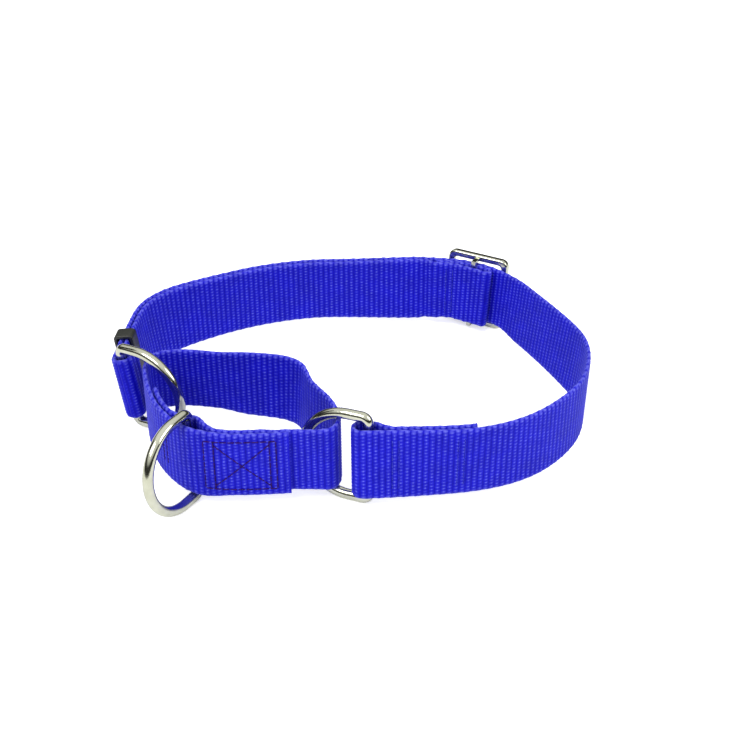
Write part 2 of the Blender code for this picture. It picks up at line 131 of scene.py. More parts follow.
LEFT_RING_TURN = -31
RIGHT_RING_TURN = 158
LEASH_RING_TURN = 240.5
LEASH_BAR_SKEW = 5
BOX_ROWS = (4.6, 6.8, 25.6, 29.0)
BOX_HIGH = 9.6
BOX_INSET = 1.2
TACK_ROWS = (46.0, 48.4)
TACK_HIGH = 7.0
RIGHT_SEAM_ROWS = (11.0, 13.2, 33.0, 35.2)
LOOP_SEAM_ROWS = (9.0, 12.0)
CROSS_SEAM_HIGH = 9.9

# ---- Shape and meshing that only the looks have
FOLD_SLACK = 2.6 * MM             # how far the inner layer stands off beside the left ring
FOLD_SLACK_LENGTH = 8.6 * MM
FOLD_STATIONS = 8                 # stations from the left fold's start to the adjuster webbing
NARROW_AT = (98 * MM, 209 * MM)   # places on the control strap that are kept narrow
SHOWN_BAR_WIDTH = 1.9 * MM        # the centre bar is slimmer than its CAD solid
BAR_EDGE = 0.3 * MM
SLIDE_EDGE = 0.9 * MM
KEEPER_EDGE = 0.5 * MM
PLATE_EDGE_STEPS = 5
BAR_EDGE_STEPS = 3
WIRE_STEPS = 7
JOIN_ROWS = (0, 8)                # rows of the route that its closing end lies inside
WELD = 1e-6
SHARP_ANGLE = 40

# ---- Weave
RIB = 2.1 * MM                    # one weft rib along the strap
RIB_SHAPE = (0.0, 0.72, 1.0, 0.72)    # height at each quarter of a rib
BEADS = 20                        # warp yarns across the strap
GROOVE = 0.26 * MM                # depth between ribs
BEAD_DIP = 0.55                   # share of a rib's height lost between its beads
EDGE_INSET = 0.1 * MM
EDGE_THIN = (0.72, 0.95)          # thickness left at the edge yarn and the next
EDGE_ROUND = 0.2 * MM             # how far the selvage cord stands out
SCALLOP = 0.16 * MM               # how far it waves in and out, once in every two ribs
SCALLOP_RIBS = 2
CORD_RELIEF = (0.55, 0.45)        # its mean height in the colour ramps, and how far it varies, as painted highlight and shade on the cord
SELVAGE = 1.3 * MM
END_SHADE_STATIONS = 2                        # stations darkened at each cut end, as painted shade for the dark line the cut end casts
END_SHADE_RELIEF = 0.35
SPREAD_LOW = 1.0 * MM             # how much wider the webbing lies where nothing pinches it
SPREAD_HIGH = 0.4 * MM
SQUEEZE = 0.35 * MM               # how much narrower each edge is where something does
PINCHED = 13 * MM                 # reach of a ring, slide or keeper along the webbing
RELAXED = 26 * MM                 # distance at which it lies at its full width

# ---- Thread
STITCH_PITCH = 2.7
STITCH_LENGTH = 2.25
THREAD = 0.42 * MM
STITCH_SPOTS = (0, 0.2, 0.5, 0.8, 1)
STITCH_RISE = 0.10 * MM           # how far a stitch's middle stands off the webbing
STITCH_SINK = 0.30 * MM           # how much deeper than that its ends go

# ---- Studio
FLOOR_SIZE = 12
FLOOR_GLOW = 0.6
SKY = 0.72
SEEN_SKY = 1.1                    # strength of the background that the camera sees
SKY_STOPS = ((0.0, 0.55), (0.50, 0.45), (0.56, 0.03), (0.68, 0.05), (0.78, 1.0), (1.0, 1.25))
LAMPS = (                         # name, place, size, power
    ("key", (-0.5, -0.6, 1.1), (0.8, 0.5), 9),
    ("fill", (0.9, -0.2, 0.7), (0.6, 0.6), 4),
)
DARK_CARDS = (                    # name, place, size
    ("card_behind", (0.1, 0.9, 0.35), (1.4, 0.22)),
    ("card_left", (-0.8, 0.1, 0.5), (0.3, 0.5)),
)
CAMERA_LENS = 59.04
CAMERA_BACK = 0.4075
CAMERA_HEIGHT = 0.2748
CAMERA_DOWN = 34

# ---- Two places along the adjuster end near the slide, where points are worked out but not used
FOLLOW_START = 226 * MM
FOLLOW_END = 203 * MM


def ease(x):
    x = min(max(x, 0.0), 1.0)
    return x * x * (3 - 2 * x)


def knot_value(knots, s):
    """Value at a distance s along a strap, eased between (millimetres, value) knots."""
    at = s / MM
    for (a, low), (b, high) in zip(knots, knots[1:]):
        if at <= b:
            return low + (high - low) * ease((at - a) / (b - a))
    return knots[-1][1]


class Place:
    """A strap's own directions at one place on the lower edge of its outer layer."""

    def __init__(self, x, y, heading, side, lean, rise):
        self.origin = Vector((x - CENTRE[0], y - CENTRE[1], rise))
        out = Vector((math.sin(heading), -math.cos(heading), 0)) * side
        up = Vector((0, 0, 1))
        self.along = Vector((math.cos(heading), math.sin(heading), 0))
        self.out = out * math.cos(lean) - up * math.sin(lean)
        self.width = out * math.sin(lean) + up * math.cos(lean)

    def point(self, along, out, width):
        return self.origin + self.along * along + self.out * out + self.width * width

    def edges(self, along, out):
        return self.point(along, out, 0), self.point(along, out, STRAP_WIDTH)

    def matrix(self, out=0.0, width=0.0):
        """Local X along the strap, local Y up its width, local Z out of its face."""
        columns = Matrix((self.along, self.width, self.along.cross(self.width))).transposed()
        return Matrix.Translation(self.point(0, out, width)) @ columns.to_4x4()

    def standing_matrix(self, place):
        """Local X up the width, local Y out of the face, local Z along the strap."""
        columns = Matrix((self.width, self.out, self.width.cross(self.out))).transposed()
        return Matrix.Translation(place) @ columns.to_4x4()


def main_place(s):
    x, y = MAIN_START
    heading = math.radians(MAIN_HEADING)
    left = s
    for length, turn in MAIN_ARCS:
        run = min(left, length * MM) if (length, turn) != MAIN_ARCS[-1] else left
        bend = math.radians(turn) * run / (length * MM)
        chord = run * math.sin(bend / 2) / (bend / 2) if abs(bend) > 1e-9 else run
        x += chord * math.cos(heading + bend / 2)
        y += chord * math.sin(heading + bend / 2)
        heading += bend
        left -= run
        if left <= 0:
            break
    lean = math.radians(knot_value(MAIN_LEAN, s))
    return Place(x, y, heading, 1, lean, knot_value(MAIN_RISE, s) * MM)


def smooth_route(points, per_span=12):
    """Catmull-Rom curve through plan points in millimetres, as dense rows in metres."""
    pts = np.array(points, float) * MM
    pts = np.vstack([2 * pts[0] - pts[1], pts, 2 * pts[-1] - pts[-2]])
    rows = []
    for a, b, c, d in zip(pts, pts[1:], pts[2:], pts[3:]):
        for t in np.arange(per_span) / per_span:
            rows.append(0.5 * (2 * b + (c - a) * t + (2 * a - 5 * b + 4 * c - d) * t ** 2
                               + (3 * b - a - 3 * c + d) * t ** 3))
    rows.append(pts[-2])
    return np.array(rows)


class ControlRoute:
    """The control strap's outer layer as a smooth open curve in plan."""

    def __init__(self):
        first = smooth_route(CONTROL_POINTS)
        join = tuple(self.inside(first, row) for row in JOIN_ROWS)
        self.rows = smooth_route(CONTROL_POINTS + join)
        self.distance = np.concatenate([[0], np.cumsum(np.hypot(*np.diff(self.rows, axis=0).T))])
        self.length = self.distance[-1]

    @staticmethod
    def inside(rows, row):
        tangent = (rows[row + 1] - rows[row]) / np.linalg.norm(rows[row + 1] - rows[row])
        point = rows[row] + LAYER_PITCH * np.array([tangent[1], -tangent[0]])
        return tuple(point / MM)

    def at(self, s):
        return np.array([np.interp(s, self.distance, self.rows[:, i]) for i in (0, 1)])

    def place(self, s):
        x, y = self.at(s)
        dx, dy = self.at(min(s + MM, self.length)) - self.at(max(s - MM, 0))
        lean = math.radians(knot_value(CONTROL_LEAN, s))
        return Place(float(x), float(y), math.atan2(dy, dx), -1, lean, RISE_AT_RINGS)


def steps(start, end, step=1.0 * MM):
    count = max(2, round(abs(end - start) / step) + 1)
    return [start + (end - start) * i / (count - 1) for i in range(count)]


def fold(place, radius, side, out=0.0, turns=24):
    """Edges of a half-turn round a bar, from the outer layer to the inner one."""
    angles = [math.pi * i / turns for i in range(turns + 1)]
    return [place.edges(side * radius * math.sin(a), out - radius + radius * math.cos(a))
            for a in angles]


def settled(distance, near, far):
    """An offset that eases from its value at a bar to its value a little way along."""
    return near + (far - near) * ease(distance / FOLD_SETTLE)


def slack(distance):
    """How far the inner layer stands off, at a distance from the left ring's bar."""
    return FOLD_SLACK * math.sin(math.pi * min(distance / FOLD_SLACK_LENGTH, 1)) ** 2


def loop_run_offset(distance):
    """How far in the adjuster end's inner run lies, at a distance past the centre bar."""
    if distance < LOOP_TAIL:
        return settled(distance - CENTRE_BAR[0] / 2, LAYER_PITCH + 2 * LOOP_RADIUS, 2 * LAYER_PITCH)
    past = (distance - LOOP_TAIL - GAP) / (LOOP_LENGTH - LOOP_TAIL - GAP)
    return 2 * LAYER_PITCH - LAYER_PITCH * ease(past)


def control_layer_offset(s):
    """How far in the control strap's inner layer lies, lifted over the leash ring's bar."""
    lift = 1 - ease(abs(s - LEASH_RING_AT) / BULGE)
    return LAYER_PITCH + (2 * FOLD_RADIUS + GAP - LAYER_PITCH) * lift


def right_tail_offset(s):
    """How far in the sewn tail at the right ring lies."""
    return settled(s - RIGHT_BAR_AT, 2 * FOLD_RADIUS, LAYER_PITCH)


def left_inner_offset(distance):
    """How far in the inner layer lies, at a distance from the left ring's bar."""
    return settled(distance, 2 * FOLD_RADIUS, LAYER_PITCH) + slack(distance)


def main_outer_edges():
    """Sewn tail and fold at the right ring, then round the neck to the left ring's bar."""
    near = RIGHT_FOLD_AT + MM
    tail = [main_place(s).edges(0, -right_tail_offset(s)) for s in steps(RIGHT_TAIL, near)]
    right_fold = fold(main_place(RIGHT_FOLD_AT), FOLD_RADIUS, -1)[::-1]
    outer = [main_place(s).edges(0, 0) for s in steps(near, MAIN_LENGTH - MM)]
    return tail + right_fold + outer


def adjuster_edges():
    """From the left ring's bar back inside the strap, over and round the slide's centre bar."""
    left_fold = fold(main_place(MAIN_LENGTH), FOLD_RADIUS, 1)
    joins = SLIDE_AT + LOOP_LENGTH
    inner = [main_place(s).edges(0, -left_inner_offset(MAIN_LENGTH - s))
             for s in steps(MAIN_LENGTH - MM, joins)]
    nose = SLIDE_AT - LOOP_NOSE
    run = [main_place(s).edges(0, -loop_run_offset(s - SLIDE_AT))
           for s in steps(joins - MM, nose + MM)]
    turn = fold(main_place(nose), LOOP_RADIUS, -1, out=-LAYER_PITCH)[::-1]
    tail = [main_place(s).edges(0, -LAYER_PITCH) for s in steps(nose + MM, SLIDE_AT + LOOP_TAIL)]
    return left_fold + inner + run + turn + tail


def control_edges(route):
    outer = [route.place(s).edges(0, 0) for s in steps(0, route.length)]
    inner = [route.place(s).edges(0, -control_layer_offset(s))
             for s in steps(CONTROL_JOIN, CONTROL_INNER_END)]
    return outer + inner


def rib_stations(edges):
    """Lower and upper edge points resampled to four places in each rib."""
    low, high = (np.array([tuple(pair[side]) for pair in edges]) for side in (0, 1))
    gaps = np.linalg.norm(np.diff((low + high) / 2, axis=0), axis=1)
    keep = np.concatenate([[True], gaps > WELD])
    low, high = low[keep], high[keep]
    distance = np.concatenate([[0], np.cumsum(gaps[gaps > WELD])])
    count = int(distance[-1] / (RIB / len(RIB_SHAPE)))
    at = np.linspace(0, distance[-1], count + 1)
    return tuple(np.stack([np.interp(at, distance, rows[:, i]) for i in range(3)], 1)
                 for rows in (low, high))


def unit(rows):
    return rows / np.linalg.norm(rows, axis=1, keepdims=True)


def weave_relief(stations, first):
    """Height of the weave from 0 in a groove to 1 on a bead, for each station and yarn."""
    index = np.arange(stations) + first
    rib = np.array(RIB_SHAPE)[index % len(RIB_SHAPE)][:, None]
    row = (index // len(RIB_SHAPE))[:, None]
    yarn = np.arange(2 * BEADS + 1)[None, :]
    bead = np.where((yarn + row) % 2 == 0, 1.0, 1.0 - BEAD_DIP)
    return rib * bead


def spread(low, high, pinches):
    """The edge points moved apart, except near the places where the webbing is held narrow."""
    middle = (low + high) / 2
    away = np.min([np.linalg.norm(middle - np.array(p), axis=1) for p in pinches], axis=0)
    free = np.clip((away - PINCHED) / (RELAXED - PINCHED), 0, 1)[:, None]
    free = free * free * (3 - 2 * free)
    width = unit(high - low)
    held = SQUEEZE * (1 - free)
    return low - width * (SPREAD_LOW * free - held), high + width * (SPREAD_HIGH * free - held)


def link_mesh(name, mesh, material):
    """The mesh, smooth and with its material, as a new object of the scene."""
    mesh.shade_smooth()
    mesh.materials.append(material)
    obj = bpy.data.objects.new(name, mesh)
    bpy.context.scene.collection.objects.link(obj)
    return obj


def woven_face(low, width, normal, span, height, sign):
    """Points of one face of the webbing, with its ribs and beads standing off the strap."""
    yarns = height.shape[1]
    across = EDGE_INSET + (span - 2 * EDGE_INSET) * np.linspace(0, 1, yarns)
    thin = np.ones(yarns)
    thin[[0, -1]], thin[[1, -2]] = EDGE_THIN
    lift = (STRAP_THICK / 2 - GROOVE * (1 - height)) * thin
    return (low[:, None, :] + width[:, None, :] * across[:, :, None]
            + normal[:, None, :] * (sign * lift)[:, :, None])


def selvage_share(yarns):
    """1 on the edge yarns, falling to 0 inside them, for the points round one station."""
    from_edge = np.minimum(np.linspace(0, 1, yarns), np.linspace(1, 0, yarns)) * STRAP_WIDTH
    edge = np.clip(1 - from_edge / SELVAGE, 0, 1)
    return np.concatenate([edge, [1], edge[::-1], [1]])


def webbing(name, low, high, material, first=0):
    """A closed strip of plain-woven webbing along rows of lower and upper edge points."""
    stations = len(low)
    width = unit(high - low)
    span = np.linalg.norm(high - low, axis=1)[:, None]
    normal = unit(np.cross(unit(np.gradient((low + high) / 2, axis=0)), width))
    front = weave_relief(stations, first)
    back = weave_relief(stations, first + len(RIB_SHAPE))
    faces = [woven_face(low, width, normal, span, height, sign)
             for height, sign in ((front, 1), (back, -1))]
    index = np.arange(stations) + first
    wave = np.cos(2 * math.pi * index / (SCALLOP_RIBS * len(RIB_SHAPE)))[:, None]
    cord = EDGE_ROUND + SCALLOP * wave
    lean = normal * SCALLOP * wave
    upper = (high + width * cord + lean)[:, None]
    lower = (low - width * cord + lean)[:, None]
    points = np.concatenate([faces[0], upper, faces[1][:, ::-1], lower], axis=1)
    # Painted highlight and shade: the cord's relief rises and falls with its wave, so it shows
    # light and dark in the colour.
    cord_relief = CORD_RELIEF[0] + CORD_RELIEF[1] * wave
    relief = np.concatenate([front, cord_relief, back[:, ::-1], cord_relief], axis=1)
    # Painted shade: the first and last stations are darkened where the cut end casts a dark line.
    relief[:END_SHADE_STATIONS] = END_SHADE_RELIEF
    relief[-END_SHADE_STATIONS:] = END_SHADE_RELIEF
    yarns = front.shape[1]
    mesh = bpy.data.meshes.new(name)
    mesh.from_pydata(points.reshape(-1, 3).tolist(), [],
                     webbing_faces(stations, points.shape[1], yarns))
    selvage = np.tile(selvage_share(yarns), stations)
    # relief also sets the colour: painted shade in the grooves and painted highlight on the beads
    # and the cord.
    for key, values in (("relief", relief.reshape(-1)), ("selvage", selvage)):
        attribute = mesh.attributes.new(key, "FLOAT", "POINT")
        attribute.data.foreach_set("value", values.astype(np.float32))
    return link_mesh(name, mesh, material)


def webbing_faces(stations, around, yarns):
    """Quads round each length of webbing, with a flat closing strip at each cut end."""
    faces = []
    for i in range(stations - 1):
        a, b = i * around, (i + 1) * around
        for j in range(around):
            k = (j + 1) % around
            faces.append((a + j, a + k, b + k, b + j))
    for base, flip in ((0, True), ((stations - 1) * around, False)):
        for j in range(yarns - 1):
            mate = 2 * yarns - j
            quad = (base + j, base + j + 1, base + mate - 1, base + mate)
            faces.append(quad[::-1] if flip else quad)
        upper_tip = tuple(base + j for j in (yarns - 1, yarns, yarns + 1))
        lower_tip = tuple(base + j for j in (0, 2 * yarns, 2 * yarns + 1))
        faces.append(upper_tip[::-1] if flip else upper_tip)
        faces.append(lower_tip if flip else lower_tip[::-1])
    return faces


def stitch_rings(points, radius, sides=6):
    """Vertices and faces of one short tube through points, with closed ends."""
    verts, faces = [], []
    for i, point in enumerate(points):
        tangent = (points[min(i + 1, len(points) - 1)] - points[max(i - 1, 0)]).normalized()
        side = tangent.orthogonal().normalized()
        other = tangent.cross(side)
        for k in range(sides):
            a = 2 * math.pi * k / sides
            verts.append(point + (side * math.cos(a) + other * math.sin(a)) * radius)
    for i in range(len(points) - 1):
        for k in range(sides):
            m = (k + 1) % sides
            faces.append((i * sides + k, i * sides + m, (i + 1) * sides + m, (i + 1) * sides + k))
    faces.append(tuple(range(sides))[::-1])
    faces.append(tuple((len(points) - 1) * sides + k for k in range(sides)))
    return verts, faces


def stitch_path(place_at, spots, face_out):
    """Points along one stitch, whose ends sink into the webbing, from (share, spot) pairs."""
    path = []
    for t, spot in spots:
        s = spot.x * MM
        out = face_out(s)
        sink = STITCH_SINK * (abs(2 * t - 1) ** 3) - STITCH_RISE
        height = STRAP_WIDTH / 2 + spot.y * MM
        path.append(place_at(s).point(0, out - math.copysign(sink, out), height))
    return path


def stitches(name, place_at, strokes, faces_out, material):
    """Separate stitches along strokes of (distance, height) in millimetres, on each face."""
    verts, faces = [], []
    share = STITCH_LENGTH / STITCH_PITCH
    for start, end in strokes:
        start, end = Vector(start), Vector(end)
        count = max(1, round((end - start).length / STITCH_PITCH))
        for n in range(count):
            spots = [(t, start.lerp(end, (n + 0.5 + (t - 0.5) * share) / count))
                     for t in STITCH_SPOTS]
            for face_out in faces_out:
                ring, quads = stitch_rings(stitch_path(place_at, spots, face_out), THREAD / 2)
                base = len(verts)
                verts += ring
                faces += [tuple(base + v for v in q) for q in quads]
    mesh = bpy.data.meshes.new(name)
    mesh.from_pydata([tuple(v) for v in verts], [], faces)
    return link_mesh(name, mesh, material)


def outer_face(s):
    return STRAP_THICK / 2


def rows_across(rows, high, start=0.0):
    """Strokes straight across the strap, at each of the given distances past start."""
    return [((row + start, -high), (row + start, high)) for row in rows]


def box_strokes():
    """Two rows at each end of the box seam, its long sides and the X between them."""
    first, near, far, last = BOX_ROWS
    inside = BOX_HIGH - BOX_INSET
    crosses = [((near, -inside), (far, inside)), ((near, inside), (far, -inside))]
    sides = [((first, BOX_HIGH), (last, BOX_HIGH)), ((first, -BOX_HIGH), (last, -BOX_HIGH))]
    return rows_across(BOX_ROWS, BOX_HIGH) + crosses + sides


def curve_object(name, curve, matrix, material):
    """The curve's surface as a smooth mesh that has its place in its vertices."""
    guide = bpy.data.objects.new(name, curve)
    bpy.context.scene.collection.objects.link(guide)
    bpy.context.view_layer.update()
    depsgraph = bpy.context.evaluated_depsgraph_get()
    mesh = bpy.data.meshes.new_from_object(guide.evaluated_get(depsgraph))
    bpy.data.objects.remove(guide)
    mesh.transform(matrix)
    welded = bmesh.new()
    welded.from_mesh(mesh)
    bmesh.ops.remove_doubles(welded, verts=welded.verts, dist=WELD)
    welded.to_mesh(mesh)
    welded.free()
    mesh.materials.clear()
    obj = link_mesh(name, mesh, material)
    mesh.set_sharp_from_angle(angle=math.radians(SHARP_ANGLE))
    return obj


def ring_outline(corner_steps=8, arc_steps=64):
    """Centre line of a D-ring: Y up its bar, X towards its arc, from the bar's lower end."""
    radius = RING_HEIGHT / 2
    corner = []
    for i in range(corner_steps + 1):
        a = math.pi / 2 * i / corner_steps
        corner.append((RING_CORNER * (1 - math.cos(a)), RING_CORNER * (1 - math.sin(a))))
    arc = []
    for i in range(arc_steps + 1):
        a = -math.pi / 2 + math.pi * i / arc_steps
        arc.append((RING_LEG + radius * math.cos(a), radius + radius * math.sin(a)))
    return corner + arc + [(x, RING_HEIGHT - y) for x, y in reversed(corner)]


def poly_spline(curve, points):
    spline = curve.splines.new("POLY")
    spline.points.add(len(points) - 1)
    for spot, (x, y) in zip(spline.points, points):
        spot.co = (x, y, 0, 1)
    spline.use_cyclic_u = True


def ring(name, place, turn, material, skew=0):
    """A D-ring whose bar lies in the strap's fold; turn is where its arc points in plan."""
    curve = bpy.data.curves.new(name, "CURVE")
    curve.dimensions = "3D"
    curve.bevel_depth = WIRE / 2
    curve.bevel_resolution = WIRE_STEPS
    poly_spline(curve, ring_outline())
    flat = Vector((math.cos(math.radians(turn)), math.sin(math.radians(turn)), 0))
    slant = math.radians(skew)
    up = place.width * math.cos(slant) + place.along * math.sin(slant)
    forward = (flat - up * flat.dot(up)).normalized()
    columns = Matrix((forward, up, forward.cross(up))).transposed().to_4x4()
    foot = place.point(0, -FOLD_RADIUS, STRAP_WIDTH / 2) - up * RING_HEIGHT / 2
    return curve_object(name, curve, Matrix.Translation(foot) @ columns, material)


def rounded_rectangle(length, height, radius, arc_steps=12):
    points = []
    for quarter, (sx, sy) in enumerate(((1, 1), (-1, 1), (-1, -1), (1, -1))):
        for i in range(arc_steps + 1):
            a = math.pi / 2 * (quarter + i / arc_steps)
            points.append((sx * (length / 2 - radius) + radius * math.cos(a),
                           sy * (height / 2 - radius) + radius * math.sin(a)))
    return points


def plate_curve(name, outlines, depth, edge, edge_steps):
    """A plate of the given depth inside the outlines, with rounded edges."""
    curve = bpy.data.curves.new(name, "CURVE")
    curve.dimensions = "2D"
    curve.fill_mode = "BOTH"
    curve.extrude = depth / 2 - edge
    curve.bevel_depth = edge
    curve.bevel_resolution = edge_steps
    curve.offset = -edge
    for outline in outlines:
        poly_spline(curve, outline)
    return curve


def flat_ring(name, outer, inner, depth, edge):
    """The plate between two rounded rectangles, each given as length, height and radius."""
    outlines = (rounded_rectangle(*outer), rounded_rectangle(*inner))
    return plate_curve(name, outlines, depth, edge, PLATE_EDGE_STEPS)


def slide_frame_piece(material):
    name = "slide_frame_plated"
    outer = (SLIDE_LENGTH, SLIDE_HEIGHT, SLIDE_CORNER)
    window = (SLIDE_LENGTH - 2 * SLIDE_END_BAR, SLIDE_HEIGHT - 2 * SLIDE_SIDE_BAR,
              SLIDE_WINDOW_CORNER)
    curve = flat_ring(name, outer, window, SLIDE_DEPTH, SLIDE_EDGE)
    matrix = main_place(SLIDE_AT).matrix(out=SLIDE_DEPTH / 2, width=STRAP_WIDTH / 2)
    return curve_object(name, curve, matrix, material)


def centre_bar_piece(material):
    """The slide's centre bar, set back inside the straps, with a leg at each end."""
    name = "slide_centre_bar"
    place = main_place(SLIDE_AT)
    far = SLIDE_HEIGHT / 2 - CENTRE_BAR_INSET
    near = far - CENTRE_BAR_LEG
    inner, outer = -CENTRE_BAR_OFF - CENTRE_BAR[1] / 2, -CENTRE_BAR_OFF + CENTRE_BAR[1] / 2
    seat = SLIDE_DEPTH / 2
    outline = ((far, seat), (near, seat), (near, outer), (-near, outer), (-near, seat),
               (-far, seat), (-far, inner), (far, inner))
    curve = plate_curve(name, (outline,), SHOWN_BAR_WIDTH, BAR_EDGE, BAR_EDGE_STEPS)
    matrix = place.standing_matrix(place.point(0, 0, STRAP_WIDTH / 2))
    return curve_object(name, curve, matrix, material)


def keeper_piece(material):
    place = main_place(MAIN_LENGTH - KEEPER_FROM_RING)
    room = STRAP_THICK + LAYER_PITCH + 2 * KEEPER_PLAY
    inner = (STRAP_WIDTH + 2 * KEEPER_PLAY, room, KEEPER_INNER_CORNER)
    outer = (inner[0] + 2 * KEEPER_WALL, room + 2 * KEEPER_WALL, KEEPER_CORNER)
    curve = flat_ring("moulded_keeper", outer, inner, KEEPER_LENGTH, KEEPER_EDGE)
    middle = place.point(0, -LAYER_PITCH / 2, STRAP_WIDTH / 2)
    return curve_object("moulded_keeper", curve, place.standing_matrix(middle), material)


class Shader:
    """Short names for building a material's nodes."""

    def __init__(self, name, **values):
        self.material = bpy.data.materials.new(name)
        self.material.use_nodes = True
        self.tree = self.material.node_tree
        self.principled = self.tree.nodes["Principled BSDF"]
        self.set(self.principled, **values)

    @staticmethod
    def set(node, **values):
        for key, value in values.items():
            node.inputs[key.replace("_", " ")].default_value = value

    def node(self, kind, settings=None, **values):
        node = self.tree.nodes.new("ShaderNode" + kind)
        for key, value in (settings or {}).items():
            setattr(node, key, value)
        self.set(node, **values)
        return node

    def link(self, source, target):
        self.tree.links.new(source, target)

    def position(self):
        return self.node("TexCoord").outputs["Object"]

    def noise(self, scale, detail=2.0, roughness=0.5):
        node = self.node("TexNoise", Scale=scale, Detail=detail, Roughness=roughness)
        self.link(self.position(), node.inputs["Vector"])
        return node.outputs["Fac"]

    def attribute(self, name):
        return self.node("Attribute", {"attribute_name": name}).outputs["Fac"]

    def ramp(self, source, *stops):
        node = self.node("ValToRGB")
        self.link(source, node.inputs["Fac"])
        while len(node.color_ramp.elements) < len(stops):
            node.color_ramp.elements.new(0.5)
        for element, (position, colour) in zip(node.color_ramp.elements, stops):
            element.position = position
            element.color = (*colour, 1)
        return node.outputs["Color"]

    def mix(self, factor, a, b, blend="MIX"):
        node = self.node("Mix", {"data_type": "RGBA", "blend_type": blend})
        for value, spot in ((factor, 0), (a, 6), (b, 7)):
            if isinstance(value, bpy.types.NodeSocket):
                self.link(value, node.inputs[spot])
            else:
                node.inputs[spot].default_value = value
        return node.outputs[2]

    def range(self, source, low, high):
        node = self.node("MapRange", To_Min=low, To_Max=high)
        self.link(source, node.inputs["Value"])
        return node.outputs["Result"]

    def bump(self, source, strength, distance):
        node = self.node("Bump", Strength=strength, Distance=distance)
        self.link(source, node.inputs["Height"])
        self.link(node.outputs["Normal"], self.principled.inputs["Normal"])

    def into(self, name, source):
        self.link(source, self.principled.inputs[name])


def grey(value):
    return (value, value, value)


def webbing_material():
    nylon = Shader("woven_nylon", Sheen_Weight=0.12, Sheen_Roughness=0.4,
                   Sheen_Tint=(0.5, 0.55, 1.0, 1.0), Specular_IOR_Level=0.16)
    # Painted shade and painted highlight: the yarn colour follows the weave's relief, dark in the
    # grooves and light on the beads, plus fine random noise.
    relief_shade_and_fray = nylon.node("Math", {"operation": "ADD"})
    nylon.link(nylon.attribute("relief"), relief_shade_and_fray.inputs[0])
    nylon.link(nylon.range(nylon.noise(1100, 2), -0.32, 0.32), relief_shade_and_fray.inputs[1])
    yarn = nylon.ramp(relief_shade_and_fray.outputs["Value"],
                      (0.0, (0.001, 0.0, 0.40)), (0.4, (0.004, 0.003, 0.54)),
                      (0.75, (0.028, 0.030, 0.60)), (1.0, (0.12, 0.14, 0.70)))
    # Painted highlight: within the selvage the colour moves to this lighter cord ramp, which also
    # follows the relief as painted shade.
    cord = nylon.ramp(nylon.attribute("relief"),
                      (0.1, (0.006, 0.005, 0.52)), (0.9, (0.15, 0.16, 0.76)))
    edge = nylon.mix(nylon.range(nylon.attribute("selvage"), 0.0, 0.75), yarn, cord)
    patchy = nylon.ramp(nylon.noise(160, 3), (0.3, grey(0.9)), (0.7, grey(1.1)))
    nylon.into("Base Color", nylon.mix(1.0, edge, patchy, "MULTIPLY"))
    filaments = nylon.noise(3200, 2, 0.6)
    nylon.into("Roughness", nylon.range(filaments, 0.5, 0.7))
    nylon.bump(filaments, 0.35, 0.12 * MM)
    return nylon.material


def thread_material(name, colour, light):
    thread = Shader(name, Roughness=0.75, Specular_IOR_Level=0.15)
    twist = thread.noise(2600, 1)
    thread.into("Base Color", thread.ramp(twist, (0.35, colour), (0.65, light)))
    thread.bump(twist, 0.4, 0.08 * MM)
    return thread.material


def nickel_material():
    nickel = Shader("polished_nickel", Metallic=1.0, Roughness=0.12)
    cloudy = nickel.noise(180, 4)
    nickel.into("Base Color", nickel.ramp(cloudy, (0.3, (0.60, 0.61, 0.47)),
                                          (0.7, (0.74, 0.75, 0.61))))
    nickel.into("Roughness", nickel.range(nickel.noise(900, 3), 0.07, 0.2))
    nickel.bump(nickel.noise(260, 2), 0.12, 0.15 * MM)
    return nickel.material


def keeper_material():
    plastic = Shader("moulded_plastic", Roughness=0.42, Specular_IOR_Level=0.5)
    grain = plastic.noise(1500, 3)
    plastic.into("Base Color", plastic.ramp(grain, (0.3, (0.014, 0.015, 0.012)),
                                            (0.7, (0.028, 0.030, 0.023))))
    plastic.into("Roughness", plastic.range(grain, 0.34, 0.5))
    plastic.bump(grain, 0.2, 0.1 * MM)
    return plastic.material


def floor():
    """Pale floor, lit up a little from within, as a light table is."""
    bpy.ops.mesh.primitive_plane_add(size=FLOOR_SIZE)
    plane = bpy.context.object
    plane.name = "floor"
    pale = Shader("pale_floor", Base_Color=(0.9, 0.9, 0.9, 1), Roughness=0.9,
                  Emission_Color=(1, 1, 1, 1))
    lit = pale.node("LightPath").outputs["Is Camera Ray"]
    pale.into("Emission Strength", pale.range(lit, 0.0, FLOOR_GLOW))
    plane.data.materials.append(pale.material)


def area_light(name, location, size, power):
    """A soft lamp that points at the middle of the collar."""
    data = bpy.data.lights.new(name, "AREA")
    data.shape = "RECTANGLE"
    data.size, data.size_y = size
    data.energy = power
    lamp = bpy.data.objects.new(name, data)
    lamp.location = location
    lamp.rotation_euler = (-Vector(location)).to_track_quat("-Z", "Y").to_euler()
    bpy.context.scene.collection.objects.link(lamp)


def dark_card(name, location, size):
    """A dark card that the camera doesn't see, for a streak in the plated metal."""
    bpy.ops.mesh.primitive_plane_add(size=1)
    card = bpy.context.object
    card.name = name
    card.scale = (*size, 1)
    card.location = location
    card.rotation_euler = (-Vector(location)).to_track_quat("Z", "Y").to_euler()
    dark = Shader("dark_card", Base_Color=(0.004, 0.004, 0.003, 1), Roughness=1.0)
    card.data.materials.append(dark.material)
    card.visible_camera = False
    card.visible_diffuse = False
    card.visible_shadow = False


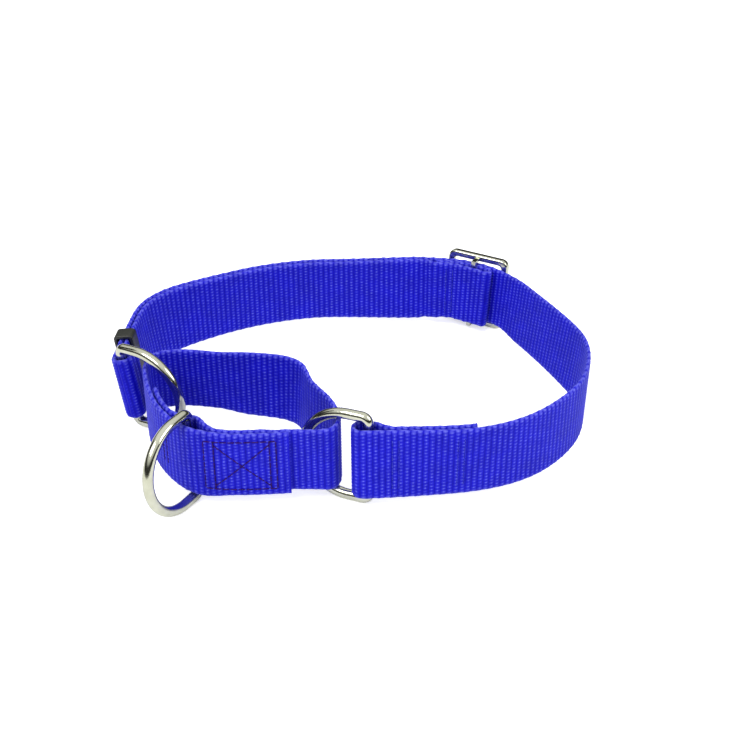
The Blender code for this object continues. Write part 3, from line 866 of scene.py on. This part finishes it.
def world():
    """White, except that glossy reflections see a dark band over the horizon."""
    sky = bpy.data.worlds.new("soft_studio")
    sky.use_nodes = True
    tree = sky.node_tree
    background = tree.nodes["Background"]
    background.inputs["Strength"].default_value = SKY
    direction = tree.nodes.new("ShaderNodeTexCoord")
    split = tree.nodes.new("ShaderNodeSeparateXYZ")
    height = tree.nodes.new("ShaderNodeMapRange")
    height.inputs["From Min"].default_value = -1
    ramp = tree.nodes.new("ShaderNodeValToRGB")
    while len(ramp.color_ramp.elements) < len(SKY_STOPS):
        ramp.color_ramp.elements.new(0.5)
    for element, (position, value) in zip(ramp.color_ramp.elements, SKY_STOPS):
        element.position = position
        element.color = (*grey(value), 1)
    path = tree.nodes.new("ShaderNodeLightPath")
    choose = tree.nodes.new("ShaderNodeMix")
    choose.data_type = "RGBA"
    seen = tree.nodes.new("ShaderNodeMapRange")
    seen.inputs["To Min"].default_value = 1.0
    seen.inputs["To Max"].default_value = SEEN_SKY / SKY
    tree.links.new(path.outputs["Is Camera Ray"], seen.inputs["Value"])
    tree.links.new(seen.outputs["Result"], choose.inputs[6])
    tree.links.new(direction.outputs["Generated"], split.inputs["Vector"])
    tree.links.new(split.outputs["Z"], height.inputs["Value"])
    tree.links.new(height.outputs["Result"], ramp.inputs["Fac"])
    tree.links.new(path.outputs["Is Glossy Ray"], choose.inputs[0])
    tree.links.new(ramp.outputs["Color"], choose.inputs[7])
    tree.links.new(choose.outputs[2], background.inputs["Color"])
    bpy.context.scene.world = sky


def camera():
    data = bpy.data.cameras.new("camera")
    data.lens = CAMERA_LENS
    data.sensor_width = 36
    data.clip_start = 0.01
    cam = bpy.data.objects.new("camera", data)
    cam.location = (-CENTRE[0], -CAMERA_BACK - CENTRE[1], CAMERA_HEIGHT)
    cam.rotation_euler = (math.radians(90 - CAMERA_DOWN), 0, 0)
    bpy.context.scene.collection.objects.link(cam)
    bpy.context.scene.camera = cam


def piece(obj, body, slot, *nodes):
    """Lets a shown piece ride its body and stand for the named CAD nodes."""
    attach(obj, body)
    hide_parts(*nodes)


def build_main_strap(nylon):
    """The main strap in two lengths, parted inside the left ring's fold."""
    middle = STRAP_WIDTH / 2
    keeper_at = main_place(MAIN_LENGTH - KEEPER_FROM_RING).point(0, 0, middle)
    slide_at = main_place(SLIDE_AT).point(0, 0, middle)
    low, high = rib_stations(main_outer_edges() + adjuster_edges())
    low, high = spread(low, high, (keeper_at, slide_at))
    fold_start = np.array(main_place(MAIN_LENGTH).edges(0, 0)[0])
    split = int(np.argmin(np.linalg.norm(low - fold_start, axis=1))) + FOLD_STATIONS
    main = webbing("main_webbing", low[:split + 1], high[:split + 1], nylon)
    piece(main, "collar", "webbing", "main_strap")
    adjuster = webbing("adjuster_webbing", low[split:], high[split:], nylon, first=split)
    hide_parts("strap_end_loop")
    main_place(FOLLOW_START).point(0, -LAYER_PITCH, middle)
    main_place(FOLLOW_END).point(0, -LAYER_PITCH, middle)
    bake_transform(adjuster)


def build_control_strap(control, nylon):
    low, high = rib_stations(control_edges(control))
    narrow = [control.place(s).point(0, 0, STRAP_WIDTH / 2) for s in NARROW_AT]
    low, high = spread(low, high, narrow)
    piece(webbing("control_webbing", low, high, nylon), "collar", "webbing", "control_strap")


def build_seams(control, dark, blue):
    def control_back(s):
        return -control_layer_offset(s) - STRAP_THICK / 2

    def main_back(s):
        return -right_tail_offset(s) - STRAP_THICK / 2

    def loop_back(s):
        return -loop_run_offset(s - SLIDE_AT) - STRAP_THICK / 2

    both = (outer_face, control_back)
    piece(stitches("box_stitches", control.place, box_strokes(), both, dark),
          "collar", "dark_thread", "box_seam")
    piece(stitches("tack_stitches", control.place, rows_across(TACK_ROWS, TACK_HIGH), both, dark),
          "collar", "dark_thread", "tack_seam")
    piece(stitches("right_ring_stitches", main_place, rows_across(RIGHT_SEAM_ROWS, CROSS_SEAM_HIGH),
                   (outer_face, main_back), blue), "collar", "blue_thread", "right_ring_seam")
    rows = rows_across(LOOP_SEAM_ROWS, CROSS_SEAM_HIGH, SLIDE_AT / MM)
    piece(stitches("end_loop_stitches", main_place, rows, (loop_back,), blue),
          "slide", "blue_thread", "end_loop_seam")


def build_hardware(control, nickel, plastic):
    rings = (
        ("left", "left_ring", main_place(MAIN_LENGTH), LEFT_RING_TURN, 0),
        ("right", "right_ring", main_place(RIGHT_BAR_AT), RIGHT_RING_TURN, 0),
        ("leash", "leash_ring", control.place(LEASH_RING_AT), LEASH_RING_TURN, LEASH_BAR_SKEW),
    )
    for side, body, place, turn, skew in rings:
        wire = ring(side + "_plated_ring", place, turn, nickel, skew)
        piece(wire, body, "nickel", side + "_d_ring")
    piece(slide_frame_piece(nickel), "slide", "nickel", "slide_frame")
    piece(centre_bar_piece(nickel), "slide", "nickel")
    piece(keeper_piece(plastic), "keeper", "black_plastic", "strap_keeper")


def build_collar():
    control = ControlRoute()
    nylon = webbing_material()
    build_main_strap(nylon)
    build_control_strap(control, nylon)
    build_seams(control,
                thread_material("dark_bonded_thread", (0.008, 0.002, 0.07), (0.045, 0.006, 0.15)),
                thread_material("blue_bonded_thread", (0.004, 0.004, 0.36), (0.05, 0.06, 0.55)))
    build_hardware(control, nickel_material(), keeper_material())


def build_studio():
    floor()
    world()
    for lamp in LAMPS:
        area_light(*lamp)
    for card in DARK_CARDS:
        dark_card(*card)
    camera()
    bpy.context.scene.view_settings.view_transform = "Standard"


build_collar()
build_studio()
